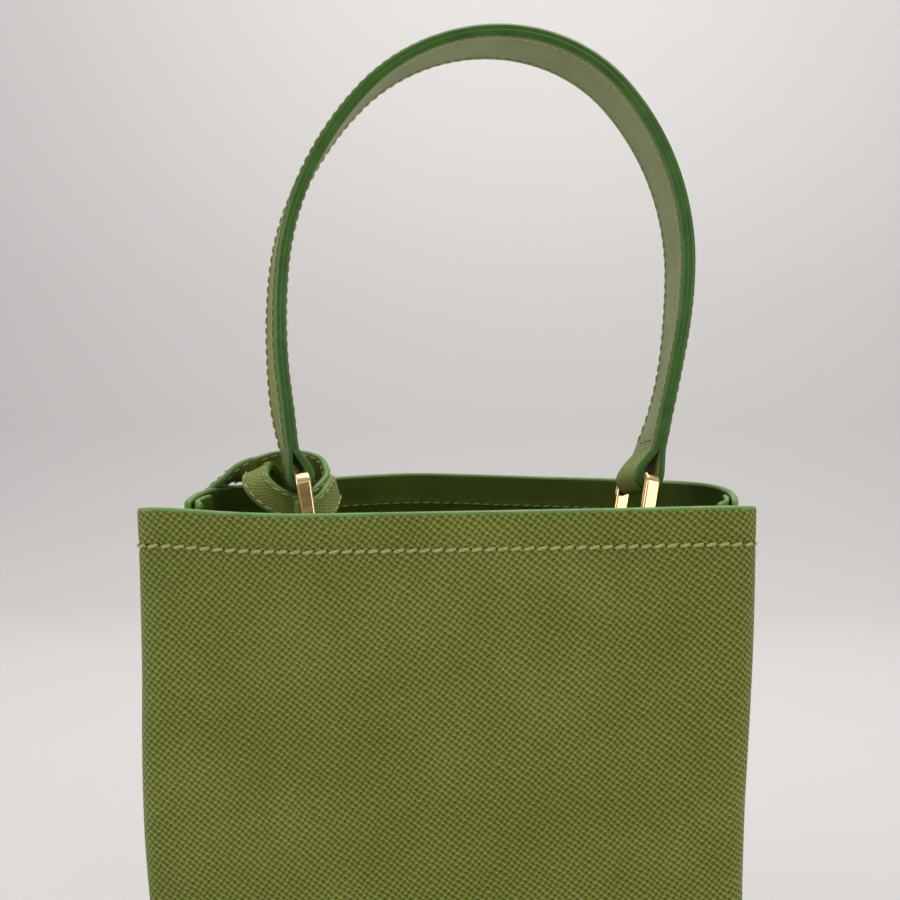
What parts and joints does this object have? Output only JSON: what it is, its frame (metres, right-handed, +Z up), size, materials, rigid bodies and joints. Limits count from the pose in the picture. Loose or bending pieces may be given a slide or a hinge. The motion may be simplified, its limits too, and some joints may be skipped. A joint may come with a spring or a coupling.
{
  "type": "bucket bag",
  "caption": "Small structured bucket bag in cross-grain leather with one arched handle on metal rings, folded side gussets and a knotted lanyard with a key tag.",
  "frame": {"origin": "on the ground, under the middle of the base, at the soles of the four feet", "axes": "+X to the right seen from the plain front, -Y towards the plain front, +Z up through the handle"},
  "size_m": [0.2013, 0.096, 0.378],
  "materials": {
    "cross_grain_leather": "matte, embossed cross grain",
    "lining_leather": "smooth satin",
    "strap_leather": "matte, edge-painted",
    "stiffener": "matte board",
    "polished_gold": "polished, plated"
  },
  "bodies": {
    "bag": {"front_panel": "cross_grain_leather", "front_stiffener": "stiffener", "front_lining": "lining_leather", "rear_panel": "cross_grain_leather", "rear_stiffener": "stiffener", "rear_lining": "lining_leather", "base_panel": "cross_grain_leather", "base_board": "stiffener", "base_lining": "lining_leather", "base_feet": "polished_gold", "foot_washers": "polished_gold", "left_gusset": "cross_grain_leather", "left_gusset_lining": "lining_leather", "right_gusset": "cross_grain_leather", "right_gusset_lining": "lining_leather", "left_tab_patch": "strap_leather", "right_tab_patch": "strap_leather", "lanyard_strand": "strap_leather"},
    "tabs": {"left_tab": "strap_leather", "right_tab": "strap_leather", "lanyard_knot": "strap_leather"},
    "left_ring": {"left_ring": "polished_gold"},
    "right_ring": {"right_ring": "polished_gold"},
    "handle": {"handle_outer_ply": "strap_leather", "handle_core": "stiffener", "handle_inner_ply": "strap_leather"},
    "tag_link": {"tag_ring": "polished_gold"},
    "tag": {"tag_outer_ply": "strap_leather", "tag_inner_ply": "strap_leather"}
  },
  "joints": [
    {"name": "handle_fold", "type": "hinge", "parent": "bag", "child": "tabs", "pos_m": [0, -0.004, 0.179], "axis": [1, 0, 0], "range_deg": [-30, 55]},
    {"name": "left_ring_pivot", "type": "hinge", "parent": "tabs", "child": "left_ring", "pos_m": [-0.05721, -0.00236, 0.18673], "axis": [-0.3746, 0.9069, -0.1928], "range_deg": [-2.5, 2.5]},
    {"name": "right_ring_pivot", "type": "hinge", "parent": "tabs", "child": "right_ring", "pos_m": [0.05721, -0.00236, 0.18673], "axis": [-0.3746, 0.9069, -0.1928], "range_deg": [-2.5, 2.5]},
    {"name": "handle_pivot", "type": "hinge", "parent": "left_ring", "child": "handle", "pos_m": [-0.0615, 0.00234, 0.20883], "axis": [-0.3746, 0.9069, -0.1928], "range_deg": [-2.35, 2.35]},
    {"name": "tag_lift", "type": "hinge", "parent": "bag", "child": "tag_link", "pos_m": [-0.10045, 0.01154, 0.1586], "axis": [0, 1, 0], "range_deg": [0, 45]},
    {"name": "tag_swing", "type": "hinge", "parent": "tag_link", "child": "tag", "pos_m": [-0.10045, 0.01154, 0.1486], "axis": [1, 0, 0], "range_deg": [-45, 45]}
  ],
  "couplings": [
    {"joint": "right_ring_pivot", "follows": "left_ring_pivot", "ratio": 1},
    {"joint": "handle_pivot", "follows": "left_ring_pivot", "ratio": -0.9302}
  ]
}
